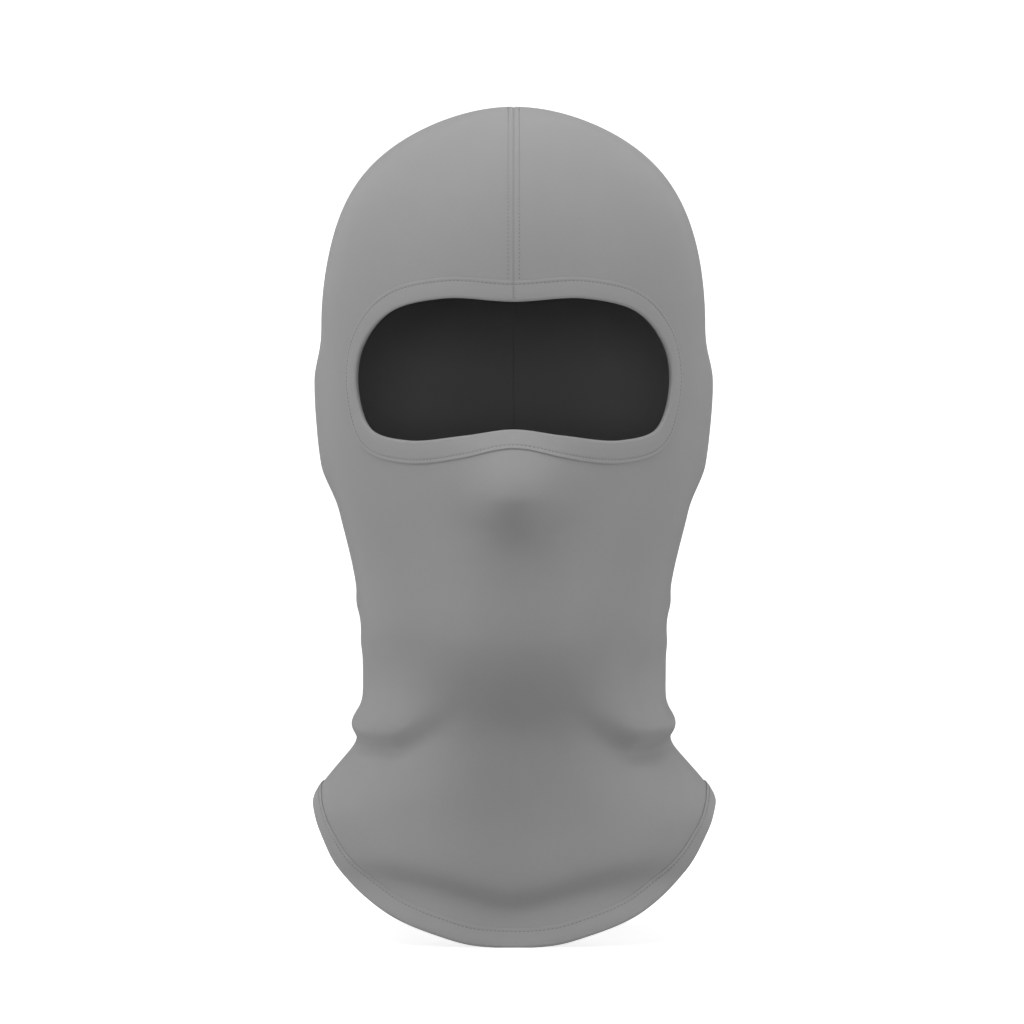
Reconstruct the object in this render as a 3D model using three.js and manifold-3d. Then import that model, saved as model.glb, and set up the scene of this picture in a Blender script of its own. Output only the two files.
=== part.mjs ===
// Ski balaclava with one wide eye opening, in the shape it takes on a head. Millimetres, +Z up, and the
// face looks along -Y. The finished part's origin is the centre of the underside of its own bounding box.
//
// It is a two-layer stretch-knit hood. Each layer is one cut of cloth, folded at the front of the neck and
// closed by a seam that runs from the eye opening over the crown and down the back. A folded band binds the
// eye opening, a second one binds the neck edge, and thread, tape, elastic and a care label complete it.
import * as THREE from "three";
import { mergeVertices } from "three/addons/utils/BufferGeometryUtils.js";
import Module from "manifold-3d";

const wasm = await Module();
wasm.setup();

// Driving dimensions ------------------------------------------------------------------------------------

const CROWN_Z = 354.4; // top of the hood
const BROW_Z = 262; // the level where the skull is longest and widest
const DOME_FULLNESS = 0.08; // how much fuller than an ellipse the crown is
const DOME_LEAN = 0.04; // moves that fullness towards the top
const RING_POWER = 2.15; // 2 is an ellipse, more is squarer

// Outlines of the cloth's outer face against height, each a smooth curve through [z, value].
const HALF_WIDTH = [
  [0, 84.4], [62, 84.4], [67, 82.4], [72, 78.8], [77, 74.5], [82, 70.3], [88, 66.6], [95, 64.6],
  [105, 64.2], [120, 64.2], [137, 64.8], [152, 66.4], [190, 75], [215, 79.3], [240, 81.2], [262, 81],
];
const FRONT_Y = [
  [0, -64], [20, -63.8], [45, -64.5], [70, -66], [88, -68.5], [100, -73.5], [110, -81],
  [120, -89], [132, -94.5], [150, -96.5], [190, -97], [240, -96.5], [262, -97],
];
const BACK_Y = [
  [0, 93], [45, 86], [62, 81], [82, 75.5], [95, 73], [113, 71.5], [135, 72.5],
  [150, 75], [170, 80], [190, 86], [215, 93.5], [240, 98.5], [262, 100],
];
const AXIS_Y = [[0, 12], [95, 12], [190, 5], [262, 5]];

// The neck edge dips at the front and back and rises over the shoulders.
const HEM_Z = 4.8; // its lowest points
const HEM_RISE_BACK = 75.2;
// How far the front flap's edge has risen, as [degrees round from the front, rise].
const HEM_RISE_FRONT = [
  [0, 0], [12, 1.4], [24, 5.7], [36, 12.7], [42, 17.7], [48, 23.4], [54, 31],
  [60, 40.4], [66, 49.2], [72, 55.6], [78, 59], [84, 60.8], [90, 62], [100, 67.5],
  [115, 83], [180, 130],
];
const HEM_SOFTNESS = 12; // rounding where the two rises meet at the shoulder

// Layers, as [outer face, inner face] above the outer cloth's face.
const CLOTH = [0, -0.7];
const TAPE = [-1.3, -1.7];
const LINING = [-2.4, -3];
const BAND_OUTER = [1.6, 0.9];
const BAND_INNER = [-4.6, -5.3];

const BAND_WIDTH = 8.4; // visible leg of both bands
const BAND_INNER_WIDTH = 7;
const BAND_PLY = 0.8; // cloth at the band's fold
const CUT_SETBACK = 5; // both layers end this far inside a band's fold
const ELASTIC = { near: 1.2, far: 2.7, top: -0.4, bottom: -2.9 };
const THREAD = 0.5; // thickness of a sewn row
const THREAD_GAP = 0.3; // the clearance every row keeps to the cloth it lies on
const BAND_STITCH_AT = 6.8; // row on a band, from the band's fold
const TOPSTITCH_AT = 2.3; // row beside the crown seam, from the seam
const SEAM_SLIT = 0.9; // where the two edges of a layer meet
const SEAM_THREAD = 0.3;
const TAPE_WIDTH = 8;

const LABEL = { width: 28, height: 32, thickness: 0.6, topZ: 74, y: 72 };

// Fineness of the facets.
const EYE_SAMPLES = 56;
const NECK_SAMPLES = 72;
const FRONT_DENSITY = 0.4; // how much closer the columns stand at the face than at the back
const COLUMNS = 48;
const DOME_ROWS = 6;
const LOWER_ROWS = [
  246, 231, 217, 205, 194, 183, 170, 155, 141, 129, 118, 107, 98, 89, 77, 63, 49, 37, 28, 20, 11, 0,
];
const ROWS = 2 + DOME_ROWS + LOWER_ROWS.length; // the crown, the dome, the brow and the levels under it
const RELAX_Z = 150; // below this level the rows close up towards the rising neck edge

// Smooth helpers ----------------------------------------------------------------------------------------

const { clamp, smoothstep, degToRad, radToDeg } = THREE.MathUtils;
const bell = (offset, width) => Math.exp(-((offset / width) ** 2));
const SIDE = new THREE.Vector3(1, 0, 0);

// A curve through [x, y] points that never overshoots them.
function through(points) {
  const slope = points.slice(1).map((p, i) => (p[1] - points[i][1]) / (p[0] - points[i][0]));
  const tangent = points.map((p, i) => {
    if (i === 0 || i === points.length - 1) return 0;
    const product = slope[i - 1] * slope[i];
    return product <= 0 ? 0 : (2 * product) / (slope[i - 1] + slope[i]);
  });
  return (x) => {
    const last = points.length - 2;
    let i = 0;
    while (i < last && x > points[i + 1][0]) i += 1;
    const span = points[i + 1][0] - points[i][0];
    const t = clamp((x - points[i][0]) / span, 0, 1);
    const rise = t * t * (3 - 2 * t);
    const start = t * (1 - t) * (1 - t) * span * tangent[i];
    const end = t * t * (t - 1) * span * tangent[i + 1];
    return points[i][1] * (1 - rise) + points[i + 1][1] * rise + start + end;
  };
}

const halfWidthAt = through(HALF_WIDTH);
const frontAt = through(FRONT_Y);
const backAt = through(BACK_Y);
const axisAt = through(AXIS_Y);
const frontHemRise = through(HEM_RISE_FRONT);

// The shape of the outer cloth --------------------------------------------------------------------------
// Azimuth is measured about the vertical axis from the front, -Y, towards +X.

function ringRadius(azimuth, halfWidth, reach) {
  const across = Math.abs(Math.sin(azimuth)) / halfWidth;
  const along = Math.abs(Math.cos(azimuth)) / reach;
  return (across ** RING_POWER + along ** RING_POWER) ** (-1 / RING_POWER);
}

function domeScale(z) {
  const tilt = Math.asin(clamp((z - BROW_Z) / (CROWN_Z - BROW_Z), 0, 1));
  const fullness = DOME_FULLNESS - DOME_LEAN * Math.cos(2 * tilt);
  return Math.cos(tilt) * (1 + fullness * Math.sin(2 * tilt) ** 2);
}

// The jaw's underside climbs from the chin towards the ears, so the throat starts higher at the sides.
function jawLift(azimuth, z) {
  const lift = 34 * smoothstep(Math.abs(azimuth), degToRad(10), degToRad(75));
  return lift * smoothstep(z, 70, 118) * (1 - smoothstep(z, 118, 200));
}

// Cloth stretched from the bridge of a nose over its tip and back to the lip.
function nose(x, z) {
  const rise = z > 190 ? bell(z - 190, 27) : bell(z - 190, 15);
  const spread = 15 + 0.22 * Math.max(0, z - 175);
  return 20 * rise * bell(x, spread);
}

// Cloth stretched over an ear: a low mound that fades gently towards the cheek.
function ear(y, z) {
  const behind = y - 17 - 0.22 * (z - 222);
  const across = bell(behind, behind < 0 ? 25 : 14);
  const above = z - 221;
  const up = 1 - smoothstep(Math.abs(above) / (above > 0 ? 37 : 34), 0.5, 1.1);
  return 3.9 * across * up;
}

// Spare length gathers into a roll round the sides and back of the neck.
function neckRoll(azimuth, z) {
  const turn = Math.abs(azimuth);
  const forward = Math.max(0, degToRad(40) - turn) / degToRad(23);
  const flank = bell(turn - Math.PI / 2, 0.5);
  const ridgeZ = 93.5 + 2 * smoothstep(turn, degToRad(60), degToRad(88)) + 14 * forward ** 1.4;
  const above = z - ridgeZ;
  const roll = above > 0 ? bell(above, 12 - 6.2 * flank) : bell(above, 6 - 1.4 * flank);
  const crease = bell(above + 10, 5);
  const backFade = 1 - 0.35 * smoothstep(turn, degToRad(110), Math.PI);
  return smoothstep(turn, degToRad(9), degToRad(46)) * backFade * ((6.2 - 2.9 * flank) * roll - crease);
}

// A soft fold across the front of the skirt, where it tucks in over the neck band.
function hemTuck(x, azimuth, z) {
  const troughZ = 18.5 + 16 * Math.tanh((Math.hypot(x, 12) - 12) / 42);
  const front = 1 - smoothstep(Math.abs(azimuth), degToRad(24), degToRad(52));
  return front * (0.6 * bell(z - troughZ - 17, 11) - 3.4 * bell(z - troughZ, 7));
}

// The hollow below the chin, a little to the right of the middle.
const throatGroove = (x, z) => -3.2 * bell(x - 3, 18) * smoothstep(z, 10, 38) * (1 - smoothstep(z, 92, 115));

// The skirt stands off over the collar bones.
const shoulderFlare = (azimuth, z) => 4.5 * bell(Math.abs(azimuth) - 0.66, 0.34) * (1 - smoothstep(z, 15, 92));

// Low down at the sides the skirt spreads out over the shoulders.
const sideSpread = (azimuth, z) => 5.2 * bell(Math.abs(azimuth) - 1.08, 0.38) * (1 - smoothstep(z, 52, 76));

// The neck edge: two flaps, front and back, that meet high at the sides.
function hemHeight(azimuth) {
  const across = Math.abs(Math.sin(azimuth)) ** (2 / RING_POWER);
  const facing = Math.sign(Math.cos(azimuth)) * Math.sqrt(Math.max(0, 1 - across * across));
  const turn = Math.abs(azimuth - 2 * Math.PI * Math.round(azimuth / (2 * Math.PI)));
  const front = frontHemRise(radToDeg(turn));
  const back = HEM_RISE_BACK * (1 + facing);
  const blend = Math.exp(-front / HEM_SOFTNESS) + Math.exp(-back / HEM_SOFTNESS);
  return HEM_Z + Math.max(0, -HEM_SOFTNESS * Math.log(blend));
}

function radiusAt(azimuth, z) {
  if (z >= CROWN_Z) return 0;
  const level = Math.min(z, BROW_Z);
  const axis = axisAt(level);
  const front = axis - frontAt(level - jawLift(azimuth, level));
  const back = backAt(level) - axis;
  const reach = Math.cos(azimuth) > 0 ? front : back;
  const base = ringRadius(azimuth, halfWidthAt(level), reach);
  const x = base * Math.sin(azimuth);
  const y = axis - base * Math.cos(azimuth);
  const facing = Math.cos(azimuth) > 0 ? nose(x, z) + throatGroove(x, z) + hemTuck(x, azimuth, z) : 0;
  const skirt = shoulderFlare(azimuth, z) + sideSpread(azimuth, z);
  return domeScale(z) * base + facing + ear(y, z) + neckRoll(azimuth, z) + skirt;
}

function pointAt(azimuth, z) {
  const r = radiusAt(azimuth, z);
  return new THREE.Vector3(r * Math.sin(azimuth), axisAt(Math.min(z, BROW_Z)) - r * Math.cos(azimuth), z);
}

// Negative inside the hood, zero on the outer cloth, positive outside.
function outside(p) {
  const y = axisAt(Math.min(p.z, BROW_Z)) - p.y;
  return Math.hypot(p.x, y) - radiusAt(Math.atan2(p.x, y), p.z);
}

function normalAt(p) {
  const step = 0.2;
  const slope = ["x", "y", "z"].map((axis) => {
    const ahead = p.clone();
    const behind = p.clone();
    ahead[axis] += step;
    behind[axis] -= step;
    return outside(ahead) - outside(behind);
  });
  return new THREE.Vector3(...slope).normalize();
}

// Slides a point along a direction until it lies on the cloth.
function settle(p, direction) {
  let low = -8;
  let high = 8;
  for (let i = 0; i < 24; i += 1) {
    const middle = (low + high) / 2;
    const inside = outside(p.clone().addScaledVector(direction, middle)) < 0;
    if (inside) low = middle;
    else high = middle;
  }
  return p.clone().addScaledVector(direction, (low + high) / 2);
}

// Walks over the cloth from a point, in short steps that keep to the surface.
function walk(start, heading, distance) {
  const steps = Math.max(1, Math.ceil(distance / 2));
  let p = start.clone();
  const direction = heading.clone();
  for (let i = 0; i < steps; i += 1) {
    const normal = normalAt(p);
    direction.addScaledVector(normal, -normal.dot(direction)).normalize();
    p = settle(p.addScaledVector(direction, distance / steps), normalAt(p));
  }
  return p;
}

const raise = (p, height) => p.clone().addScaledVector(normalAt(p), height);

// Geometry helpers --------------------------------------------------------------------------------------

// Moves every vertex of a three.js geometry to where place(vertex, uv) puts it.
function bend(geometry, place) {
  const positions = geometry.getAttribute("position");
  const uvs = geometry.getAttribute("uv");
  const vertex = new THREE.Vector3();
  for (let i = 0; i < positions.count; i += 1) {
    vertex.fromBufferAttribute(positions, i);
    const moved = place(vertex, uvs.getX(i), uvs.getY(i));
    positions.setXYZ(i, moved.x, moved.y, moved.z);
  }
  return geometry;
}

function toSolid(geometry) {
  const bare = geometry.clone();
  bare.deleteAttribute("normal");
  bare.deleteAttribute("uv");
  const merged = mergeVertices(bare, 1e-3);
  const vertProperties = new Float32Array(merged.attributes.position.array);
  const triVerts = new Uint32Array(merged.index.array);
  return new wasm.Manifold(new wasm.Mesh({ numProp: 3, vertProperties, triVerts }));
}

function toGeometry(solid) {
  const mesh = solid.getMesh();
  const geometry = new THREE.BufferGeometry();
  geometry.setAttribute("position", new THREE.BufferAttribute(mesh.vertProperties, 3));
  geometry.setIndex(new THREE.BufferAttribute(mesh.triVerts, 1));
  return geometry;
}

function cut(geometry, ...tools) {
  const solid = tools.reduce((left, tool) => left.subtract(toSolid(tool)), toSolid(geometry));
  return toGeometry(solid);
}

function block(low, high) {
  const size = new THREE.Vector3(...high).sub(new THREE.Vector3(...low));
  const middle = new THREE.Vector3(...low).addScaledVector(size, 0.5);
  return new THREE.BoxGeometry(size.x, size.y, size.z).translate(middle.x, middle.y, middle.z);
}

// Eye opening -------------------------------------------------------------------------------------------

// Right half of the opening's edge seen from the front, as [x, z] from the top centre round to the bottom.
const EYE_HALF = [
  [0, 268.3], [29, 269.8], [50.8, 264.6], [62.6, 250.5], [64.7, 234], [58.8, 217.5], [43.2, 212.5],
  [20, 215.3], [0, 216.6],
];
const eyeMirror = EYE_HALF.slice(1, -1).reverse().map(([x, z]) => [-x, z]);
const eyeOutline = new THREE.CatmullRomCurve3(
  [...EYE_HALF, ...eyeMirror].map(([x, z]) => new THREE.Vector3(x, 0, z)),
  true,
);

// The point of the front cloth straight behind a point of the outline.
function onFace(x, z) {
  let near = degToRad(-89);
  let far = degToRad(89);
  for (let i = 0; i < 30; i += 1) {
    const middle = (near + far) / 2;
    if (pointAt(middle, z).x < x) near = middle;
    else far = middle;
  }
  return pointAt((near + far) / 2, z);
}

// A point of an edge with the direction that leads away from it into the cloth.
function edgeFrame(point, tangent, inward) {
  const heading = normalAt(point).cross(tangent).normalize();
  if (heading.dot(inward) < 0) heading.negate();
  return { point, heading };
}

function eyeFrame(share) {
  const here = eyeOutline.getPointAt(((share % 1) + 1) % 1);
  const next = eyeOutline.getPointAt((((share + 0.002) % 1) + 1) % 1);
  const point = onFace(here.x, here.z);
  const tangent = onFace(next.x, next.z).sub(point);
  const away = new THREE.Vector3(here.x, 0, here.z - 241);
  return edgeFrame(point, tangent, away);
}

function neckFrame(share) {
  const azimuth = share * 2 * Math.PI;
  const point = pointAt(azimuth, hemHeight(azimuth));
  const next = pointAt(azimuth + 0.01, hemHeight(azimuth + 0.01));
  return edgeFrame(point, next.sub(point), new THREE.Vector3(0, 0, 1));
}

// A sample sits half a step past the centre line, so a flat facet spans it.
const sampleFrames = (frame, count) => Array.from({ length: count }, (_, k) => frame((k + 0.5) / count));
const eyeFrames = sampleFrames(eyeFrame, EYE_SAMPLES);
const neckFrames = sampleFrames(neckFrame, NECK_SAMPLES);

// Pieces that follow an edge ------------------------------------------------------------------------------

// A closed loop along an edge. The section lists [distance from the edge, height above the cloth] in order.
function loopAlong(frames, section) {
  const ring = new THREE.TorusGeometry(2, 1, section.length, frames.length);
  return bend(ring, (_, u, v) => {
    const frame = frames[Math.round(u * frames.length) % frames.length];
    const [distance, height] = section[Math.round(v * section.length) % section.length];
    const placed = raise(walk(frame.point, frame.heading, distance), height);
    if (distance === 0 && frames === neckFrames) placed.z = frame.point.z;
    return placed;
  });
}

const rectangle = (near, far, top, bottom) => [[near, top], [far, top], [far, bottom], [near, bottom]];

const BAND_SECTION = [
  [BAND_PLY, BAND_OUTER[0]],
  [BAND_WIDTH, BAND_OUTER[0]],
  [BAND_WIDTH, BAND_OUTER[1]],
  [BAND_PLY, BAND_OUTER[1]],
  [BAND_PLY, BAND_INNER[0]],
  [BAND_INNER_WIDTH, BAND_INNER[0]],
  [BAND_INNER_WIDTH, BAND_INNER[1]],
  [BAND_PLY, BAND_INNER[1]],
  [0, BAND_INNER[0]],
  [0, BAND_OUTER[1]],
];

const rowBottom = BAND_OUTER[0] + THREAD_GAP;
const STITCH_SECTION = rectangle(
  BAND_STITCH_AT - THREAD / 2,
  BAND_STITCH_AT + THREAD / 2,
  rowBottom + THREAD,
  rowBottom,
);
const ELASTIC_SECTION = rectangle(ELASTIC.near, ELASTIC.far, ELASTIC.top, ELASTIC.bottom);

// The joint where the two ends of a band strip meet, and the thread across it.
const JOIN_NEAR = 1.2;
const JOIN_FAR = 6.1;

function joinThread(frame) {
  const bar = new THREE.BoxGeometry(THREAD, 1, THREAD, 1, 3, 1);
  const sideways = frame.heading.clone().cross(normalAt(frame.point));
  return bend(bar, (vertex) => {
    const share = vertex.y + 0.5;
    const spot = walk(frame.point, frame.heading, JOIN_NEAR + share * (JOIN_FAR - JOIN_NEAR));
    const height = rowBottom + THREAD / 2 + vertex.z;
    return raise(spot, height).addScaledVector(sideways, vertex.x);
  });
}

// Cloth layers ------------------------------------------------------------------------------------------

// Where a layer ends, so that the neck band's fold clears it.
function layerEdge(azimuth) {
  const slope = (hemHeight(azimuth + 0.01) - hemHeight(azimuth - 0.01)) / 0.02 / radiusAt(azimuth, 60);
  return hemHeight(azimuth) + CUT_SETBACK * Math.hypot(1, slope);
}

// Rows are counted down from the crown.
function rowHeight(row, azimuth) {
  if (row === 0) return CROWN_Z;
  if (row <= DOME_ROWS + 1) {
    const tilt = degToRad(84) * (1 - (row - 1) / DOME_ROWS);
    return BROW_Z + (CROWN_Z - BROW_Z) * Math.sin(tilt);
  }
  const plain = LOWER_ROWS[row - DOME_ROWS - 2];
  if (plain >= RELAX_Z) return plain;
  const edge = layerEdge(azimuth);
  return edge + (plain / RELAX_Z) * (RELAX_Z - edge);
}

// Columns close up towards the front. The turn runs from -180 degrees to 180 degrees.
function columnAzimuth(column) {
  const turn = 2 * Math.PI * ((column % COLUMNS) / COLUMNS - 0.5);
  return turn - FRONT_DENSITY * Math.sin(turn);
}

// A hollow layer: a sphere whose lower half is pushed up inside its upper half.
function layer([outerFace, innerFace], finishPoint = (placed) => placed) {
  const bands = 2 * ROWS - 1;
  const ball = new THREE.SphereGeometry(1, COLUMNS, bands);
  return bend(ball, (vertex, u, v) => {
    const line = Math.round((1 - v) * bands);
    const inner = line >= ROWS;
    const row = inner ? bands - line : line;
    const azimuth = columnAzimuth(Math.round(u * COLUMNS));
    const z = rowHeight(row, azimuth);
    const placed = raise(pointAt(azimuth, z), inner ? innerFace : outerFace);
    if (row === 0) placed.set(0, axisAt(BROW_Z), placed.z);
    return finishPoint(placed, azimuth, z, inner);
  });
}

// The lining hangs straighter than the shell's folds, and is flat where it rests on the top of a head.
const CROWN_REST_Z = CROWN_Z + LINING[1] - 1;

function hangLining(placed, azimuth, z, inner) {
  const aboveHem = z - hemHeight(azimuth);
  const neckEase = 1.2 * smoothstep(aboveHem, 9, 22) * (1 - smoothstep(z, 120, 150));
  const noseEase = bell(azimuth, degToRad(16)) * bell(z - 180, 20);
  const slack = neckRoll(azimuth, z) * smoothstep(aboveHem, 8, 20) + neckEase + noseEase;
  placed.x -= slack * Math.sin(azimuth);
  placed.y += slack * Math.cos(azimuth);
  if (inner) placed.z = Math.min(placed.z, CROWN_REST_Z);
  return placed;
}

// Everything in front of the edge line set back from the eye opening, as a tool that cuts a layer.
function eyeTool() {
  const rim = eyeFrames.map((frame) => walk(frame.point, frame.heading, CUT_SETBACK));
  const shape = new THREE.Shape(rim.map((p) => new THREE.Vector2(p.x, p.z)));
  const depth = 170;
  return new THREE.ExtrudeGeometry(shape, { depth, bevelEnabled: false }).rotateX(Math.PI / 2);
}

// The slit where a layer's edges meet: from the eye opening over the crown and down the back.
const slitTools = () => [
  block([-SEAM_SLIT / 2, -150, 255], [SEAM_SLIT / 2, 20, 370]),
  block([-SEAM_SLIT / 2, 10, -10], [SEAM_SLIT / 2, 150, 370]),
];

// Pieces along the seam ---------------------------------------------------------------------------------

// Stations on the centre line from above the eye band over the crown to just above the back neck band.
function seamStations(clearance) {
  const topEdge = eyeFrame(0);
  const startZ = walk(topEdge.point, topEdge.heading, clearance).z;
  const backEdge = neckFrame(0.5);
  const endZ = walk(backEdge.point, backEdge.heading, clearance).z;
  const rows = Array.from({ length: ROWS }, (_, row) => row).slice(1);
  const front = rows.map((row) => rowHeight(row, 0)).filter((z) => z > startZ + 3);
  const back = rows.map((row) => rowHeight(row, Math.PI)).filter((z) => z > endZ + 3);
  const frontPoints = [startZ, ...front.reverse()].map((z) => pointAt(0, z));
  const backPoints = [...back, endZ].map((z) => pointAt(Math.PI, z));
  const top = new THREE.Vector3(0, axisAt(BROW_Z), CROWN_Z);
  return [...frontPoints, top, ...backPoints];
}

// A strip along the seam, centred at x, with its faces at the given heights above the outer cloth.
function seamStrip(stations, x, width, [upper, lower], acrossSegments = 1) {
  const last = stations.length - 1;
  const strip = new THREE.BoxGeometry(1, 1, 1, acrossSegments, last, 1);
  return bend(strip, (vertex) => {
    const station = stations[Math.round((vertex.y + 0.5) * last)];
    const sideways = station.clone().addScaledVector(SIDE, x + vertex.x * width);
    const spot = settle(sideways, normalAt(station));
    return raise(spot, vertex.z > 0 ? upper : lower);
  });
}

const topstitchFaces = [THREAD_GAP + THREAD, THREAD_GAP];
const seamThreadFaces = [-0.2, -0.2 - SEAM_THREAD];
const liningThreadFaces = [LINING[1] - THREAD_GAP, LINING[1] - THREAD_GAP - THREAD];
const outerStations = seamStations(BAND_WIDTH + 1);
const liningStations = seamStations(BAND_INNER_WIDTH + 1);

// Care label ------------------------------------------------------------------------------------------------

const label = () =>
  block(
    [-LABEL.width / 2, LABEL.y - LABEL.thickness / 2, LABEL.topZ - LABEL.height],
    [LABEL.width / 2, LABEL.y + LABEL.thickness / 2, LABEL.topZ],
  );

const labelStitch = () =>
  block(
    [-LABEL.width / 2 + 2, LABEL.y - THREAD / 2, LABEL.topZ + 2 * THREAD_GAP],
    [LABEL.width / 2 - 2, LABEL.y + THREAD / 2, LABEL.topZ + 2 * THREAD_GAP + THREAD],
  );

// Assembly ----------------------------------------------------------------------------------------------

const finish = {
  knit: new THREE.MeshStandardMaterial({ color: 0x8f8f8f, roughness: 0.92, metalness: 0 }),
  lining: new THREE.MeshStandardMaterial({ color: 0x2b2b2b, roughness: 0.95, metalness: 0 }),
  band: new THREE.MeshStandardMaterial({ color: 0x939393, roughness: 0.9, metalness: 0 }),
  thread: new THREE.MeshStandardMaterial({ color: 0x868686, roughness: 0.7, metalness: 0 }),
  darkThread: new THREE.MeshStandardMaterial({ color: 0x333333, roughness: 0.7, metalness: 0 }),
  tape: new THREE.MeshStandardMaterial({ color: 0x7c7c7c, roughness: 0.9, metalness: 0 }),
  elastic: new THREE.MeshStandardMaterial({ color: 0xd8d8d4, roughness: 0.6, metalness: 0 }),
  label: new THREE.MeshStandardMaterial({ color: 0xe6e6e2, roughness: 0.6, metalness: 0 }),
};

const balaclava = new THREE.Group();

function add(name, geometry, material) {
  const mesh = new THREE.Mesh(geometry, material);
  mesh.name = name;
  balaclava.add(mesh);
}

const eyeJoint = block([-0.3, -150, 255], [0.3, 0, 300]);
const neckJoint = block([-0.3, 20, -10], [0.3, 150, 40]);

add("outer_shell", cut(layer(CLOTH), eyeTool(), ...slitTools()), finish.knit);
add("lining", cut(layer(LINING, hangLining), eyeTool(), ...slitTools()), finish.lining);
add("crown_seam_tape", seamStrip(outerStations, 0, TAPE_WIDTH, TAPE, 2), finish.tape);
add("crown_seam_thread", seamStrip(outerStations, 0, SEAM_THREAD, seamThreadFaces), finish.thread);
add("crown_topstitch_left", seamStrip(outerStations, -TOPSTITCH_AT, THREAD, topstitchFaces), finish.thread);
add("crown_topstitch_right", seamStrip(outerStations, TOPSTITCH_AT, THREAD, topstitchFaces), finish.thread);
add("lining_seam_thread", seamStrip(liningStations, 0, THREAD, liningThreadFaces), finish.darkThread);
add("eye_band", cut(loopAlong(eyeFrames, BAND_SECTION), eyeJoint), finish.band);
add("eye_elastic", loopAlong(eyeFrames, ELASTIC_SECTION), finish.elastic);
add("eye_band_stitch", loopAlong(eyeFrames, STITCH_SECTION), finish.thread);
add("eye_band_join_thread", joinThread(eyeFrame(0)), finish.thread);
add("neck_band", cut(loopAlong(neckFrames, BAND_SECTION), neckJoint), finish.band);
add("neck_band_stitch", loopAlong(neckFrames, STITCH_SECTION), finish.thread);
add("neck_band_join_thread", joinThread(neckFrame(0.5)), finish.thread);
add("care_label", label(), finish.label);
add("label_stitch", labelStitch(), finish.thread);

const box = new THREE.Box3().setFromObject(balaclava);
const centreY = (box.min.y + box.max.y) / 2;
for (const mesh of balaclava.children) mesh.geometry.translate(0, -centreY, -box.min.z);

export default balaclava;
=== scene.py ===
"""Ski balaclava: a two-layer stretch-knit hood in the shape it takes on a head."""
import math

import bpy
import numpy as np
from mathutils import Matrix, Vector


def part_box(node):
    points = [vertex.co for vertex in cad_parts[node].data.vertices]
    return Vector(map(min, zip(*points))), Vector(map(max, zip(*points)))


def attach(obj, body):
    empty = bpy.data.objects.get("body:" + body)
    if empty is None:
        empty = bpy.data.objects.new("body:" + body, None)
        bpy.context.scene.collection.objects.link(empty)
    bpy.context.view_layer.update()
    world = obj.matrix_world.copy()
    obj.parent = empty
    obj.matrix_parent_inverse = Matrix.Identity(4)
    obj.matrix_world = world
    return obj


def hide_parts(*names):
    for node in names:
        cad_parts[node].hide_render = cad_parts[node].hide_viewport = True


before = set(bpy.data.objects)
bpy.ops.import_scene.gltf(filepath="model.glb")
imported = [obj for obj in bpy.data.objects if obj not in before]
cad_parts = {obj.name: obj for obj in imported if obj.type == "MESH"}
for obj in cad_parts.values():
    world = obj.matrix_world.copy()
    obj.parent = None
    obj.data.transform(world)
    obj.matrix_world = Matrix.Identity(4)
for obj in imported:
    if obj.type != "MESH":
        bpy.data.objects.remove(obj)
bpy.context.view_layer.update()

# Frame: shapes are worked out in millimetres with the head's axis at the origin, then set into the CAD frame

MM = 0.001
CROWN_Z = 354.4
BROW_Z = 262.0  # the dome starts here
BACK_REACH = 99.9  # the back of the hood behind the head's axis

shell_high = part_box("outer_shell")[1]
OFFSET = np.array([0.0, shell_high.y / MM - BACK_REACH, shell_high.z / MM - CROWN_Z])

# Outlines of the cloth's outer face against height: [z, value]
HALF_WIDTH = [
    (-10, 84.4), (0, 84.4), (62, 84.4), (67, 82.4), (72, 78.8), (77, 74.5), (82, 70.3), (88, 66.6),
    (95, 64.6), (105, 64.2), (120, 64.2), (137, 64.8), (152, 66.4), (190, 75), (215, 79.3), (240, 81.2),
    (262, 81), (272, 81),
]
FRONT_Y = [
    (-10, -64), (0, -64), (20, -63.8), (45, -64.5), (70, -66), (88, -68.5), (100, -73.5), (110, -81),
    (120, -89), (132, -94.5), (150, -96.5), (190, -97), (240, -96.5), (262, -97), (272, -97),
]
BACK_Y = [
    (-10, 94), (0, 93), (45, 86), (62, 81), (82, 75.5), (95, 73), (113, 71.5), (135, 72.5),
    (150, 75), (170, 80), (190, 86), (215, 93.5), (240, 98.5), (262, 100), (272, 100),
]
AXIS_Y = [(-10, 12), (95, 12), (190, 5), (272, 5)]
OUTLINE_SOFTNESS = 2.5  # how far each outline is rounded off, up and down
DOME_FULLNESS = 0.08
DOME_LEAN = 0.04  # moves the dome's fullness towards the crown
RING_POWER = 2.15  # 2 would make every level an ellipse
JAW_LIFT = 34
NOSE_Z = 190
NOSE_LENGTH = 20
EAR_AT = (17, 221)  # distance behind the axis, height
EAR_FULLNESS = 3.9
ROLL_Z = 93.5  # the neck roll's ridge at the sides of the throat
HEM_Z = 4.8  # the neck edge at the front centre
HEM_RISE_BACK = 75.2  # how far the back flap's edge rises by the front
# How far the front flap's edge has risen: [degrees round from the front, rise]
HEM_RISE_FRONT = [
    (0, 0), (12, 0.9), (24, 5.5), (36, 12.2), (42, 17.2), (48, 23), (54, 31), (60, 40.4), (66, 48.4),
    (72, 53.4), (78, 56.2), (84, 58), (90, 59.6), (100, 66.5), (115, 83), (180, 130),
]
HEM_SOFTNESS = 12.0  # rounding where the two flaps' edges meet at the shoulder
RELAX_Z = 150.0  # below this height the cloth's rows bend to run along the neck edge


def smoothstep(x, low, high):
    t = np.minimum(np.maximum((x - low) / (high - low), 0.0), 1.0)
    return t * t * (3 - 2 * t)


def bell(offset, width):
    return np.exp(-((offset / width) ** 2))


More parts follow.
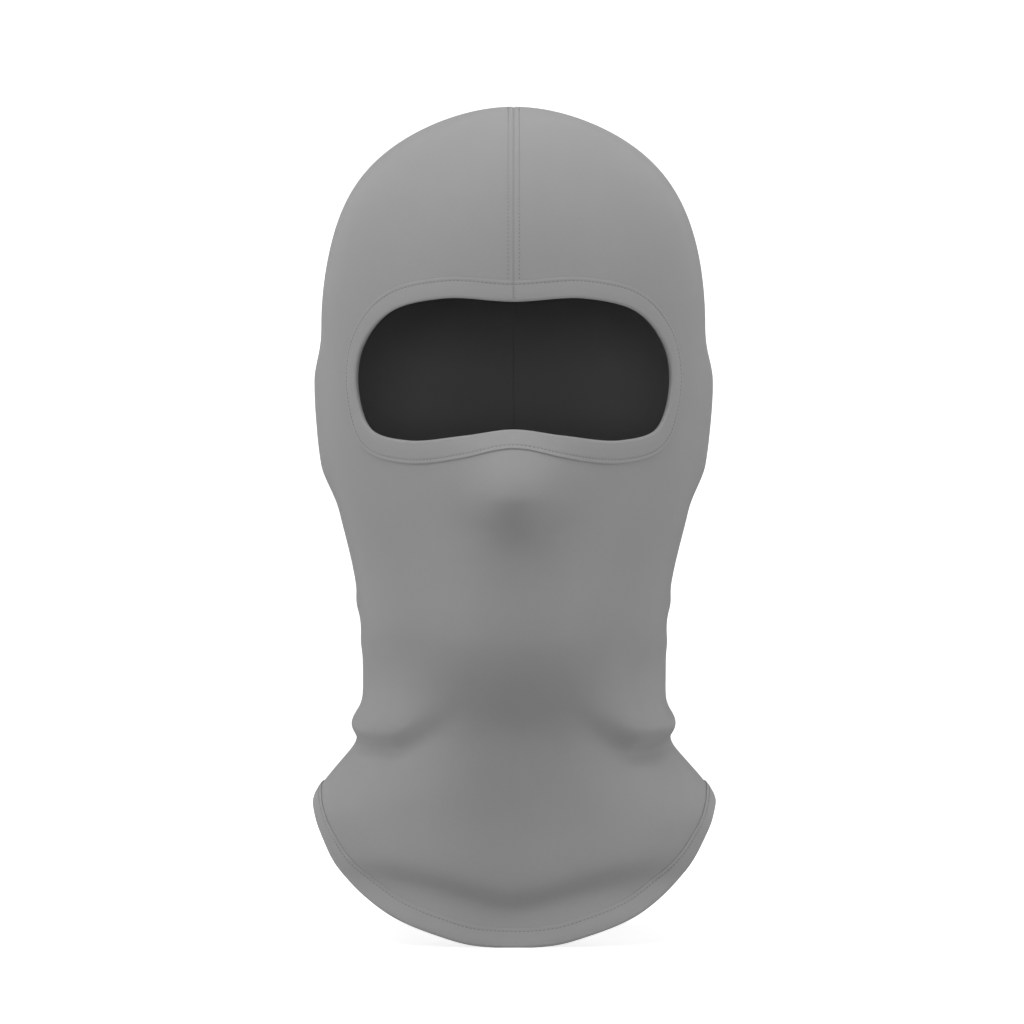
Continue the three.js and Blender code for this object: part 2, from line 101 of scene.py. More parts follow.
def through(points):
    """A smooth curve near (x, y) points: never overshooting between them, then rounded off."""
    xs = np.array([p[0] for p in points], float)
    ys = np.array([p[1] for p in points], float)
    slope = np.diff(ys) / np.diff(xs)
    tangent = np.zeros(len(xs))
    for i in range(1, len(xs) - 1):
        product = slope[i - 1] * slope[i]
        if product > 0:
            tangent[i] = 2 * product / (slope[i - 1] + slope[i])
    step = 0.25
    fine = np.arange(xs[0], xs[-1] + step / 2, step)
    i = np.clip(np.searchsorted(xs, fine, side="right") - 1, 0, len(xs) - 2)
    span = xs[i + 1] - xs[i]
    t = (fine - xs[i]) / span
    rise = t * t * (3 - 2 * t)
    start = t * (1 - t) ** 2 * span * tangent[i]
    end = t * t * (t - 1) * span * tangent[i + 1]
    exact = ys[i] * (1 - rise) + ys[i + 1] * rise + start + end
    reach = int(3 * OUTLINE_SOFTNESS / step)
    kernel = bell(np.arange(-reach, reach + 1) * step, OUTLINE_SOFTNESS * math.sqrt(2))
    padded = np.pad(exact, reach, mode="edge")
    rounded_off = np.convolve(padded, kernel / kernel.sum(), mode="valid")
    return lambda x: np.interp(x, fine, rounded_off)


half_width_at = through(HALF_WIDTH)
front_at = through(FRONT_Y)
back_at = through(BACK_Y)
axis_at = through(AXIS_Y)
front_hem_rise = through(HEM_RISE_FRONT)


# The shape of the outer cloth. Azimuth is measured about the vertical axis from the front, -Y, towards +X.

def dome_scale(z):
    tilt = np.arcsin(np.minimum(np.maximum((z - BROW_Z) / (CROWN_Z - BROW_Z), 0), 1))
    fullness = DOME_FULLNESS - DOME_LEAN * np.cos(2 * tilt)
    return np.cos(tilt) * (1 + fullness * np.sin(2 * tilt) ** 2)


def jaw_lift(azimuth, z):
    """The jaw's underside climbs from the chin towards the ears."""
    lift = JAW_LIFT * smoothstep(np.abs(azimuth), math.radians(10), math.radians(75))
    return lift * smoothstep(z, 70, 118) * (1 - smoothstep(z, 118, 200))


def nose(x, z):
    """Cloth stretched from the bridge of a nose over its tip and back to the lip."""
    above = z - NOSE_Z
    rise = np.where(above > 0, bell(above, 27), bell(above, 15))
    spread = 15 + 0.22 * np.maximum(0, above + 15)
    return NOSE_LENGTH * rise * bell(x, spread)


def ear(y, z):
    """A low mound where the cloth goes over an ear, fading gently towards the cheek."""
    ear_y, ear_z = EAR_AT
    above = z - ear_z
    behind = y - ear_y - 0.22 * (above - 1)
    across = bell(behind, np.where(behind < 0, 25, 14))
    up = 1 - smoothstep(np.abs(above) / np.where(above > 0, 37, 34), 0.5, 1.1)
    return EAR_FULLNESS * across * up


def hem_height(azimuth):
    """The neck edge: two flaps, front and back, that meet high at the sides."""
    across = np.abs(np.sin(azimuth)) ** (2 / RING_POWER)
    facing = np.sign(np.cos(azimuth)) * np.sqrt(np.maximum(0, 1 - across * across))
    front = front_hem_rise(np.degrees(np.abs((azimuth + math.pi) % (2 * math.pi) - math.pi)))
    back = HEM_RISE_BACK * (1 + facing)
    blend = np.exp(-front / HEM_SOFTNESS) + np.exp(-back / HEM_SOFTNESS)
    return HEM_Z + np.maximum(0, -HEM_SOFTNESS * np.log(blend))


def neck_roll(azimuth, z):
    """Spare length that gathers into an overhanging roll round the sides and back of the neck.

    It starts beside the chin, drops to its lowest towards the sides, and is a little fuller on the right.
    """
    turn = np.abs(azimuth)
    side = np.where(azimuth > 0, 1.0, -1.0) * smoothstep(turn, 0.1, 0.5) * (1 - smoothstep(turn, 0.9, 1.4))
    flank = bell(turn - math.pi / 2, 0.5)
    forward = np.maximum(0, math.radians(40) - turn) / math.radians(23)
    ridge_z = ROLL_Z + 2 * smoothstep(turn, math.radians(60), math.radians(88)) + 14 * forward ** 1.4
    above = z - ridge_z
    roll = np.where(above > 0, bell(above, 12 - 6.2 * flank), bell(above, 6 - 1.4 * flank))
    crease = (0.5 + 2.4 * bell(turn - 0.8, 0.42)) * bell(above + 9.8, 4.4)
    hollow = 1.3 * bell(turn - 0.75, 0.4) * bell(above - 26, 9)
    back_fade = 1 - 0.35 * smoothstep(turn, math.radians(110), math.pi)
    rise = smoothstep(turn, math.radians(9), math.radians(46)) * (1.07 + 0.2 * side)
    return rise * back_fade * ((6.6 - 3.1 * flank) * roll - crease - hollow)


def hem_tuck(x, azimuth, z):
    """A soft fold across the front of the skirt, where it tucks in over the neck band."""
    trough_z = 18.5 + 16 * np.tanh((np.hypot(x, 12) - 12) / 42)
    front = 1 - smoothstep(np.abs(azimuth), math.radians(32), math.radians(62))
    above = z - trough_z
    trough = np.where(above > 0, bell(above, 6.8), bell(above, 11))
    return front * (0.6 * bell(above - 17, 11) - 5.2 * trough)


def throat_groove(x, z):
    """The hollow below the chin, a little to the right of the middle."""
    spread = 19 - 5 * smoothstep(z, 50, 90)
    return -5.2 * bell(x - 3, spread) * smoothstep(z, -14, 28) * (1 - smoothstep(z, 92, 115))


def shoulder_flare(azimuth, z):
    """The skirt stands off over the collar bones."""
    return 4.5 * bell(np.abs(azimuth) - 0.66, 0.34) * (1 - smoothstep(z, 15, 92))


def side_spread(azimuth, z):
    """Low down at the sides the skirt spreads out over the shoulders."""
    return 5.3 * bell(np.abs(azimuth) - 1.04, 0.34) * (1 - smoothstep(z, 52, 76))


def small_folds(azimuth, z):
    """Fainter rolls above the main one, strongest at the sides and the nape."""
    turn = np.abs(azimuth)
    side = smoothstep(turn, math.radians(62), math.radians(88))
    nape = smoothstep(turn, math.radians(115), math.radians(165))
    lean = 7 * np.cos(azimuth)
    upper = 0.9 * bell(z - 145.5 + lean, 4.6) + 0.4 * bell(z - 129 + lean, 4)
    return side * upper + nape * (1.2 * bell(z - 122, 6) + 0.6 * bell(z - 160, 7))


def unevenness(azimuth, z):
    """Slack that no head fills out exactly: very low swells, a little stronger below the jaw."""
    slow = np.sin(3 * azimuth + 0.045 * z + 0.6) * np.sin(0.061 * z - 2 * azimuth + 1.1)
    quick = np.sin(7 * azimuth - 0.11 * z + 2.3) * np.sin(0.083 * z + 5 * azimuth)
    return (0.16 + 0.22 * (1 - smoothstep(z, 90, 170))) * slow + 0.1 * (1 - smoothstep(z, 120, 200)) * quick


def radius_at(azimuth, z):
    level = np.minimum(z, BROW_Z)
    axis = axis_at(level)
    sine, cosine = np.sin(azimuth), np.cos(azimuth)
    front = axis - front_at(level - jaw_lift(azimuth, level))
    back = back_at(level) - axis
    reach = np.where(cosine > 0, front, back)
    across = np.abs(sine) / half_width_at(level)
    along = np.abs(cosine) / reach
    base = (across ** RING_POWER + along ** RING_POWER) ** (-1 / RING_POWER)
    x = base * sine
    y = axis - base * cosine
    facing = np.where(cosine > 0, nose(x, z) + throat_groove(x, z) + hem_tuck(x, azimuth, z), 0)
    folds = neck_roll(azimuth, z) + small_folds(azimuth, z)
    skirt = shoulder_flare(azimuth, z) + side_spread(azimuth, z)
    total = dome_scale(z) * (base + unevenness(azimuth, z)) + facing + ear(y, z) + folds + skirt
    return np.where(z >= CROWN_Z, 0.0, total)


def point_at(azimuth, z):
    """The point of the outer cloth at an azimuth and a height."""
    azimuth, z = np.broadcast_arrays(np.asarray(azimuth, float), np.asarray(z, float))
    r = radius_at(azimuth, z)
    axis = axis_at(np.minimum(z, BROW_Z))
    return np.stack([r * np.sin(azimuth), axis - r * np.cos(azimuth), z], axis=-1)


def azimuth_of(p):
    return np.arctan2(p[..., 0], axis_at(np.minimum(p[..., 2], BROW_Z)) - p[..., 1])


def outside(p):
    """Negative inside the hood, zero on the outer cloth, positive outside."""
    y = axis_at(np.minimum(p[..., 2], BROW_Z)) - p[..., 1]
    return np.hypot(p[..., 0], y) - radius_at(np.arctan2(p[..., 0], y), p[..., 2])


SETTLE_REACH = 6.0
SETTLE_HALVINGS = 14
WALK_STEPS = 4
SLOPE_STEP = 0.25


def unit(v):
    return v / np.maximum(np.linalg.norm(v, axis=-1, keepdims=True), 1e-12)


def normal_at(p):
    slopes = []
    for axis in range(3):
        shift = np.zeros(3)
        shift[axis] = SLOPE_STEP
        slopes.append(outside(p + shift) - outside(p - shift))
    return unit(np.stack(slopes, axis=-1))


def settle(p, direction):
    """Slides points along a direction, up to SETTLE_REACH either way, until they lie on the cloth."""
    low = np.full(p.shape[:-1], -SETTLE_REACH)
    step = SETTLE_REACH
    for _ in range(SETTLE_HALVINGS):
        low = np.where(outside(p + direction * (low + step)[..., None]) < 0, low + step, low)
        step /= 2
    return p + direction * low[..., None]


def walk(start, heading, distance):
    """Walks over the cloth from points, in short steps that keep to the surface."""
    p = start.copy()
    direction = heading.copy()
    for _ in range(WALK_STEPS):
        normal = normal_at(p)
        direction = unit(direction - normal * np.sum(normal * direction, axis=-1, keepdims=True))
        p = p + direction * (distance / WALK_STEPS)[..., None]
        p = settle(p, normal_at(p))
    return p


# Mesh helpers

def signed_volume(points, faces):
    total = 0.0
    for count in (3, 4):
        ring = np.array([f for f in faces if len(f) == count], int)
        if not len(ring):
            continue
        for k in range(1, count - 1):
            a, b, c = points[ring[:, 0]], points[ring[:, k]], points[ring[:, k + 1]]
            total += float(np.sum(a * np.cross(b, c)) / 6)
    return total


def link_mesh(name, points, faces, uv, body):
    """An object made from points in millimetres. uv holds one pair in millimetres for each point."""
    mesh = bpy.data.meshes.new(name)
    mesh.from_pydata(((points + OFFSET) * MM).tolist(), [], faces)
    layer = mesh.uv_layers.new(name="cloth")
    loops = np.zeros(len(mesh.loops), int)
    mesh.loops.foreach_get("vertex_index", loops)
    layer.data.foreach_set("uv", (uv[loops] * MM).astype(np.float32).ravel())
    mesh.polygons.foreach_set("use_smooth", [True] * len(mesh.polygons))
    mesh.update()
    piece = bpy.data.objects.new(name, mesh)
    bpy.context.scene.collection.objects.link(piece)
    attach(piece, body)
    return piece


def add_piece(name, points, faces, uv, body="hood"):
    """A closed body, turned so that it faces out."""
    if signed_volume(points, faces) < 0:
        faces = [tuple(reversed(f)) for f in faces]
    return link_mesh(name, points, faces, uv, body)


def add_stitches(name, points, faces, uv, one, block):
    """A row of equal stitches. The volume of the first, made of the faces in one, says which way all face."""
    first = points[:block]
    total = 0.0
    for f in one:
        for k in range(1, len(f) - 1):
            total += float(np.dot(first[f[0]], np.cross(first[f[k]], first[f[k + 1]])))
    if total < 0:
        faces = [tuple(reversed(f)) for f in faces]
    return link_mesh(name, points, faces, uv, "hood")


def stand_in(piece, node):
    """Hides a CAD node, so that the piece takes its place."""
    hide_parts(node)
    return piece


def resample(at, run, line):
    """The points at given distances along a line of points."""
    return np.stack([np.interp(at, run, line[:, k]) for k in range(line.shape[1])], axis=-1)


def tube_faces(index, closed):
    """Quads between neighbouring rows of a grid whose rows are closed rings."""
    if closed:
        a, b = index, np.roll(index, -1, axis=0)
    else:
        a, b = index[:-1], index[1:]
    quads = np.stack([a, b, np.roll(b, -1, axis=1), np.roll(a, -1, axis=1)], axis=-1)
    return [tuple(q) for q in quads.reshape(-1, 4).tolist()]


def grid_uv(across, along):
    """One (across, along) pair for each point of a grid."""
    return np.stack(np.broadcast_arrays(across, along), axis=-1).reshape(-1, 2)


def lengths_along(points):
    """Distance run at each point of a line of points."""
    steps = np.linalg.norm(np.diff(points, axis=0), axis=-1)
    return np.concatenate([[0.0], np.cumsum(steps)])


# Eye opening and neck edge

# The right half of the eye opening in the front view, from the top down: (x, z)
EYE_HALF = [
    (0, 268.3), (29, 269.8), (50.8, 264.6), (62.6, 250.5), (64.7, 234), (58.8, 217.5), (43.2, 212.5),
    (20, 214.2), (0, 216.6),
]
EYE_MIDDLE_Z = 241
BAND_WIDTH = 8.4
CUT_SETBACK = 4.6  # from a band's folded edge to the cut edge of the cloth inside it


SPLINE_STEPS = 60  # between neighbouring points of a curve


def closed_spline(points, count):
    """Centripetal Catmull-Rom loop through points, sampled evenly by length."""
    loop = np.array(points, float)
    n = len(loop)
    samples = []
    for i in range(n):
        p0, p1, p2, p3 = (loop[(i + k - 1) % n] for k in range(4))
        t1 = np.linalg.norm(p1 - p0) ** 0.5
        t2 = t1 + np.linalg.norm(p2 - p1) ** 0.5
        t3 = t2 + np.linalg.norm(p3 - p2) ** 0.5
        for t in np.linspace(t1, t2, SPLINE_STEPS, endpoint=False):
            a1 = p0 * (t1 - t) / t1 + p1 * t / t1
            a2 = p1 * (t2 - t) / (t2 - t1) + p2 * (t - t1) / (t2 - t1)
            a3 = p2 * (t3 - t) / (t3 - t2) + p3 * (t - t2) / (t3 - t2)
            b1 = a1 * (t2 - t) / t2 + a2 * t / t2
            b2 = a2 * (t3 - t) / (t3 - t1) + a3 * (t - t1) / (t3 - t1)
            samples.append(b1 * (t2 - t) / (t2 - t1) + b2 * (t - t1) / (t2 - t1))
    samples = np.array(samples + samples[:1])
    run = lengths_along(samples)
    wanted = np.linspace(0, run[-1], count, endpoint=False)
    return resample(wanted, run, samples)


FACE_HALVINGS = 30


def on_face(x, z):
    """Points of the front of the cloth, given as seen from the front."""
    near = np.full(x.shape, math.radians(-89))
    far = np.full(x.shape, math.radians(89))
    for _ in range(FACE_HALVINGS):
        middle = (near + far) / 2
        left = point_at(middle, z)[..., 0] < x
        near = np.where(left, middle, near)
        far = np.where(left, far, middle)
    return point_at((near + far) / 2, z)


TANGENT_REACH = 1.5
EDGE_GROWTH = 0.12  # how fast the samples of an edge move apart away from the join


def edge_frames(dense, away, spacing, join_fine):
    """Samples an edge, a dense loop of points, closer together at its first point, where a band joins.

    Returns points, headings into the cloth, normals, the distance run round the edge, and the offset from
    the first point, which is negative on the way back to it.
    """
    loop = np.concatenate([dense, dense[:1]])
    run = lengths_along(loop)
    total = run[-1]
    wanted = [0.0]
    while wanted[-1] < total / 2:
        wanted.append(wanted[-1] + min(spacing, join_fine + EDGE_GROWTH * wanted[-1]))
    half = np.array(wanted[:-1])
    wanted = np.concatenate([half, total - half[:0:-1]])
    points = resample(wanted, run, loop)
    ahead = resample((wanted + TANGENT_REACH) % total, run, loop)
    behind = resample((wanted - TANGENT_REACH) % total, run, loop)
    normals = normal_at(points)
    headings = unit(np.cross(normals, ahead - behind))
    flip = np.sum(headings * away(points), axis=-1) < 0
    headings[flip] *= -1
    offset = np.where(wanted > total / 2, wanted - total, wanted)
    return {"points": points, "headings": headings, "normals": normals, "run": wanted, "offset": offset}


EYE_SAMPLES = 900
NECK_SAMPLES = 1400

eye_left = [(-x, z) for x, z in EYE_HALF[1:-1]][::-1]
eye_flat = closed_spline(EYE_HALF + eye_left, EYE_SAMPLES)
eye_dense = on_face(eye_flat[:, 0], eye_flat[:, 1])
neck_azimuth = np.linspace(0, 2 * math.pi, NECK_SAMPLES, endpoint=False) + math.pi
neck_azimuth = (neck_azimuth + math.pi) % (2 * math.pi) - math.pi
neck_dense = point_at(neck_azimuth, hem_height(neck_azimuth))


def away_from_eyes(p):
    return np.stack([p[:, 0], np.zeros(len(p)), p[:, 2] - EYE_MIDDLE_Z], axis=-1)


def upwards(p):
    return np.tile([0.0, 0.0, 1.0], (len(p), 1))


# Pieces that follow an edge

def sweep(name, edge, section, relief=None):
    """A closed loop along an edge. The section lists (distance from the edge, height above the cloth)."""
    section = np.array(section, float)
    distances = np.unique(section[:, 0])
    count = len(edge["points"])
    placed = {}
    for d in distances:
        if d <= 0:
            spot = edge["points"] + edge["headings"] * d
            placed[d] = (spot, edge["normals"])
        else:
            spot = walk(edge["points"], edge["headings"], d * edge["widen"])
            placed[d] = (spot, normal_at(spot))
    rows = []
    for d, h in section:
        spot, normal = placed[d]
        height = np.full(count, h)
        if relief is not None:
            height = height + relief(d, h, edge)
        rows.append(spot + normal * height[:, None])
    points = np.stack(rows, axis=1)
    index = np.arange(count * len(section)).reshape(count, -1)
    uv = grid_uv(edge["run"][:, None], lengths_along(section)[None, :])
    return add_piece(name, points.reshape(-1, 3), tube_faces(index, True), uv)


CORNER_STEPS = 4


def rounded(corners, radius):
    """Rounds the corners of a closed section."""
    corners = np.array(corners, float)
    result = []
    for i, corner in enumerate(corners):
        before, after = corners[i - 1], corners[(i + 1) % len(corners)]
        reach = min(radius, 0.45 * np.linalg.norm(before - corner), 0.45 * np.linalg.norm(after - corner))
        start = corner + (before - corner) / np.linalg.norm(before - corner) * reach
        end = corner + (after - corner) / np.linalg.norm(after - corner) * reach
        for t in np.linspace(0, 1, CORNER_STEPS):
            result.append((1 - t) ** 2 * start + 2 * t * (1 - t) * corner + t * t * end)
    return np.round(np.array(result), 4)


STITCH_STEPS = 8
STITCH_SIDES = 6
STITCH_PITCH = 1.7
# Kinds of stitches: pitch, length, thickness, how far the middle stands up
TOPSTITCH = (STITCH_PITCH, 1.0, 0.42, 0.2)
BAND_STITCH = (STITCH_PITCH, 1.1, 0.36, 0.2)
SEAM_STITCH = (1.1, 0.95, 0.3, 0.05)
LINING_STITCH = (2.4, 2.0, 0.36, 0.2)
JOIN_STITCH = (1.1, 0.9, 0.24, 0.08)
LABEL_STITCH = (2.0, 1.6, 0.36, 0.15)


def stitches(name, path, normals, kind, lean=0.0):
    """A row of separate stitches along a line of points, each diving into the cloth at both ends."""
    pitch, length, thickness, lift = kind
    run = lengths_along(path)
    count = int(run[-1] / pitch)
    starts = (np.arange(count) + 0.5) * run[-1] / count - length / 2
    share = np.linspace(0, 1, STITCH_STEPS)
    sides = STITCH_SIDES
    at = starts[:, None] + share[None, :] * length
    centre = resample(at, run, path)
    normal = unit(resample(at, run, normals))
    tangent = unit(np.gradient(centre, axis=1))
    side = unit(np.cross(tangent, normal))
    arch = np.sin(math.pi * share)
    centre = centre + normal * (lift * arch ** 0.6 - 0.55 * thickness)[None, :, None]
    centre = centre + side * (lean * (share - 0.5))[None, :, None]
    angle = np.linspace(0, 2 * math.pi, sides, endpoint=False)
    radius = thickness / 2 * np.clip(1.25 * arch ** 0.35, 0.35, 1)
    ring = (side[:, :, None, :] * np.cos(angle)[None, None, :, None]
            + normal[:, :, None, :] * np.sin(angle)[None, None, :, None])
    points = centre[:, :, None, :] + ring * radius[None, :, None, None]
    steps = len(share)
    block = steps * sides
    faces = []
    for i in range(steps - 1):
        for j in range(sides):
            k = (j + 1) % sides
            faces.append((i * sides + j, i * sides + k, (i + 1) * sides + k, (i + 1) * sides + j))
    caps = [tuple(reversed(range(sides))), tuple(range(block - sides, block))]
    every = []
    for n in range(count):
        every += [tuple(v + n * block for v in f) for f in faces + caps]
    uv = grid_uv(at[:, :, None], (angle * thickness / 2)[None, None, :])
    return add_stitches(name, points.reshape(-1, 3), every, uv, faces + caps, block)


# Cloth layers

QUARTER_GIRTH = 140.0
SLOPE_Z = 60.0  # where the girth is taken that turns the neck edge's climb into a slope
DOME_TOP_TILT = 88.6  # the highest row, in degrees above the brow; the crown point closes the layer


def layer_columns(finest, growth, coarsest):
    """Azimuths round the hood, closest together at the seam, front and back."""
    marks = [0.0]
    while marks[-1] < QUARTER_GIRTH:
        marks.append(marks[-1] + min(coarsest, finest + growth * marks[-1]))
    quarter = np.array(marks) / marks[-1] * math.pi / 2
    right = np.concatenate([quarter, math.pi - quarter[-2::-1]])
    left = -right[-2:0:-1]
    return np.concatenate([right, left])


def layer_rows(columns, dome_rows, lower_rows):
    """Heights of a layer's rows, crown first, for each column."""
    tilt = np.radians(np.linspace(DOME_TOP_TILT, 0, dome_rows))
    dome = BROW_Z + (CROWN_Z - BROW_Z) * np.sin(tilt)
    plain = np.linspace(BROW_Z, 0, lower_rows + 1)[1:]
    turn = 0.01
    climb = (hem_height(columns + turn) - hem_height(columns - turn)) / (2 * turn)
    slope = climb / radius_at(columns, np.full(columns.shape, SLOPE_Z))
    edge = hem_height(columns) + CUT_SETBACK * np.hypot(1, slope)
    relaxed = edge[None, :] + plain[:, None] / RELAX_Z * (RELAX_Z - edge[None, :])
    lower = np.where(plain[:, None] >= RELAX_Z, plain[:, None], relaxed)
    return np.concatenate([np.repeat(dome[:, None], len(columns), axis=1), lower])


def distance_to_loop(x, z, loop):
    """Signed distance in the front view, negative inside the loop, with the nearest place along it."""
    a = loop
    b = np.roll(loop, -1, axis=0)
    best = np.full(x.shape, 1e9)
    where = np.zeros(x.shape)
    inside = np.zeros(x.shape, bool)
    for i in range(len(a)):
        ex, ez = b[i] - a[i]
        t = np.clip(((x - a[i, 0]) * ex + (z - a[i, 1]) * ez) / (ex * ex + ez * ez), 0, 1)
        d = np.hypot(x - a[i, 0] - t * ex, z - a[i, 1] - t * ez)
        closer = d < best
        best = np.where(closer, d, best)
        where = np.where(closer, i + t, where)
        crosses = (a[i, 1] > z) != (b[i, 1] > z)
        if np.any(crosses) and abs(ez) > 1e-12:
            at = a[i, 0] + (z - a[i, 1]) * ex / ez
            inside ^= crosses & (x < at)
    return np.where(inside, -best, best), where


MEAN_RADIUS = 80  # turns azimuth into distance for the knit's columns
EYE_ZONE = (180, 300)  # the heights between which the eye opening lies


def cloth_layer(name, columns, rows, rim, faces_at, shape=None, relief=None):
    """A closed thin layer of cloth with the eye opening cut out of it along the rim."""
    outer_height, inner_height = faces_at
    base = point_at(columns[None, :], rows)
    count_rows, count_columns = rows.shape
    flat_rim = rim[:, [0, 2]]
    front = (base[..., 1] < 0) & (rows > EYE_ZONE[0]) & (rows < EYE_ZONE[1])
    signed = np.full(rows.shape, 1e3)
    place = np.zeros(rows.shape)
    signed[front], place[front] = distance_to_loop(base[..., 0][front], rows[front], flat_rim)
    snap = np.zeros(rows.shape, bool)
    for axis in (0, 1):
        other = np.roll(signed, -1, axis=axis)
        crossing = (signed * other) < 0
        if axis == 0:
            crossing[-1] = False
        mine = crossing & (np.abs(signed) <= np.abs(other))
        snap |= mine
        snap |= np.roll(crossing & ~mine, 1, axis=axis)
    where = place[snap]
    low = np.floor(where).astype(int) % len(rim)
    part = (where - np.floor(where))[:, None]
    base[snap] = rim[low] * (1 - part) + rim[(low + 1) % len(rim)] * part
    signed[snap] = 0

    normals = normal_at(base)
    azimuth = azimuth_of(base)
    if shape is not None:
        base = shape(base, azimuth)
    lift = relief(base, azimuth) if relief is not None else np.zeros(rows.shape)
    outer = base + normals * (outer_height + lift)[..., None]
    inner = base + normals * inner_height
    top = np.array([[0.0, axis_at(BROW_Z), CROWN_Z + height] for height in faces_at])

    total = count_rows * count_columns
    index = np.arange(total).reshape(rows.shape)
    right = np.roll(index, -1, axis=1)
    quads = np.stack([index[:-1], right[:-1], right[1:], index[1:]], axis=-1).reshape(-1, 4)
    sign = np.sign(signed).ravel()[quads]
    keep_whole = ~np.any(sign < 0, axis=1) & np.any(sign > 0, axis=1)
    split = np.any(sign < 0, axis=1) & np.any(sign > 0, axis=1)
    faces = [tuple(q) for q in quads[keep_whole].tolist()]
    for q, s in zip(quads[split].tolist(), sign[split].tolist()):
        k = s.index(1.0)
        faces.append((q[k - 1], q[k], q[(k + 1) % 4]))
    crown_outer = 2 * total
    crown_inner = 2 * total + 1
    ring = index[0]
    for a, b in zip(ring.tolist(), np.roll(ring, -1).tolist()):
        faces.append((b, a, crown_outer))

    edges = {}
    for f in faces:
        for a, b in zip(f, f[1:] + f[:1]):
            edges[(a, b)] = edges.get((a, b), 0) + 1
    boundary = [e for e in edges if (e[1], e[0]) not in edges]
    mirrored = []
    for f in faces:
        mirrored.append(tuple((crown_inner if v == crown_outer else v + total) for v in reversed(f)))
    walls = [(b, a, a + total, b + total) for a, b in boundary]
    every = faces + mirrored + walls

    points = np.concatenate([outer.reshape(-1, 3), inner.reshape(-1, 3), top])
    uv_one = grid_uv(azimuth * MEAN_RADIUS, lengths_along(base[:, 0])[:, None])
    uv = np.concatenate([uv_one, uv_one, [[0, 0], [0, 0]]])
    used = np.unique(np.array([v for f in every for v in f]))
    remap = np.full(len(points), -1)
    remap[used] = np.arange(len(used))
    every = [tuple(remap[list(f)].tolist()) for f in every]
    return add_piece(name, points[used], every, uv[used])


# Build

TOPSTITCH_AT = 2.3  # from the crown seam
EDGE_SPACING = (0.45, 0.12)  # along an edge, and where its band joins
BAND_STITCH_AT = 6.9  # from a band's folded edge
RIM_EVERY = 4  # the cloth is cut along every fourth point of an edge
EYE_BAND_TOP_Z = 276.0

eye = edge_frames(eye_dense, away_from_eyes, *EDGE_SPACING)
eye["widen"] = 1 + 0.11 * (1 - smoothstep(eye["points"][:, 2], 214, 230))  # stretched over the nose
neck = edge_frames(neck_dense, upwards, *EDGE_SPACING)
neck["widen"] = np.ones(len(neck["points"]))
rim_start, rim_heading = eye["points"][::RIM_EVERY], eye["headings"][::RIM_EVERY]
eye_rim = walk(rim_start, rim_heading, np.full(len(rim_start), CUT_SETBACK))


def on_seam(azimuth, z):
    """1 where the crown seam runs, 0 on the seamless lower face."""
    return np.where(np.abs(azimuth) < math.pi / 2, smoothstep(z, 262, 266), 1.0)


def shell_relief(p, azimuth):
    """The valley of the crown seam, and the dents of the topstitching beside it."""
    x = p[..., 0]
    seam = on_seam(azimuth, p[..., 2])
    groove = -0.42 * bell(x, 0.36) + 0.04 * (bell(x - 1.1, 0.8) + bell(x + 1.1, 0.8))
    rows = -0.05 * (bell(x - TOPSTITCH_AT, 0.45) + bell(x + TOPSTITCH_AT, 0.45))
    return seam * (groove + rows)


# Columns: the finest spacing, its growth for each millimetre from the seam, the coarsest. Rows: on the dome,
# below it. Faces: the heights of the outer and the inner face above the surface.
SHELL_COLUMNS, SHELL_ROWS, SHELL_FACES = (0.25, 0.12, 3.0), (50, 136), (0.0, -0.6)
LINING_COLUMNS, LINING_ROWS, LINING_FACES = (1.2, 0.2, 4.0), (34, 90), (-0.9, -1.4)

shell_columns = layer_columns(*SHELL_COLUMNS)
shell_rows = layer_rows(shell_columns, *SHELL_ROWS)
shell = cloth_layer("outer_shell_cloth", shell_columns, shell_rows, eye_rim, SHELL_FACES, relief=shell_relief)
stand_in(shell, "outer_shell")


LINING_EASE = 4  # how far the lining stands in from the cloth round the neck


def hang_lining(p, azimuth):
    """The lining hangs straight behind the outer cloth's folds."""
    z = p[..., 2]
    above = z - hem_height(azimuth)
    ease = LINING_EASE * smoothstep(above, 10, 24) * (1 - smoothstep(z, 110, 150))
    slack = (neck_roll(azimuth, z) + small_folds(azimuth, z)) * smoothstep(above, 8, 20) + ease
    away = np.stack([np.sin(azimuth), -np.cos(azimuth), np.zeros(azimuth.shape)], axis=-1)
    return p - away * slack[..., None]


lining_columns = layer_columns(*LINING_COLUMNS)
lining_rows = layer_rows(lining_columns, *LINING_ROWS)
lining = cloth_layer("lining_cloth", lining_columns, lining_rows, eye_rim, LINING_FACES, shape=hang_lining)
stand_in(lining, "lining")

# A band's section, as (distance from the folded edge, height above the cloth): over the cloth, round the
# fold, and back inside it
BAND_SECTION = rounded(
    [
        (8.4, 0.03), (8.42, 0.55), (7.5, 0.62), (6.9, 0.5), (6.3, 0.63), (3.0, 0.7), (0.7, 0.6), (-0.1, 0.05),
        (0.0, -0.6), (0.7, -1.75), (1.7, -2.1), (7.0, -2.1), (7.0, -1.6), (2.4, -1.6), (1.5, -1.2),
        (1.2, -0.5), (1.4, -0.1), (2.0, 0.03),
    ],
    0.4,
)


def band_relief(d, h, edge):
    """The join of the band's ends, the pucker at each stitch, and a slight wave, on the outer ply."""
    if h < 0.4:
        return 0.0
    run, offset = edge["run"], edge["offset"]
    join = -0.3 * bell(offset, 0.34) + 0.05 * (bell(offset - 1.2, 0.8) + bell(offset + 1.2, 0.8))
    pull = np.cos(2 * math.pi * run / STITCH_PITCH)
    pucker = -0.07 * (0.5 + 0.5 * pull) * bell(d - BAND_STITCH_AT, 0.6)
    wave = 0.04 * np.sin(run / 5.1 + 1.3) * np.sin(run / 13.7)
    return join + pucker + wave


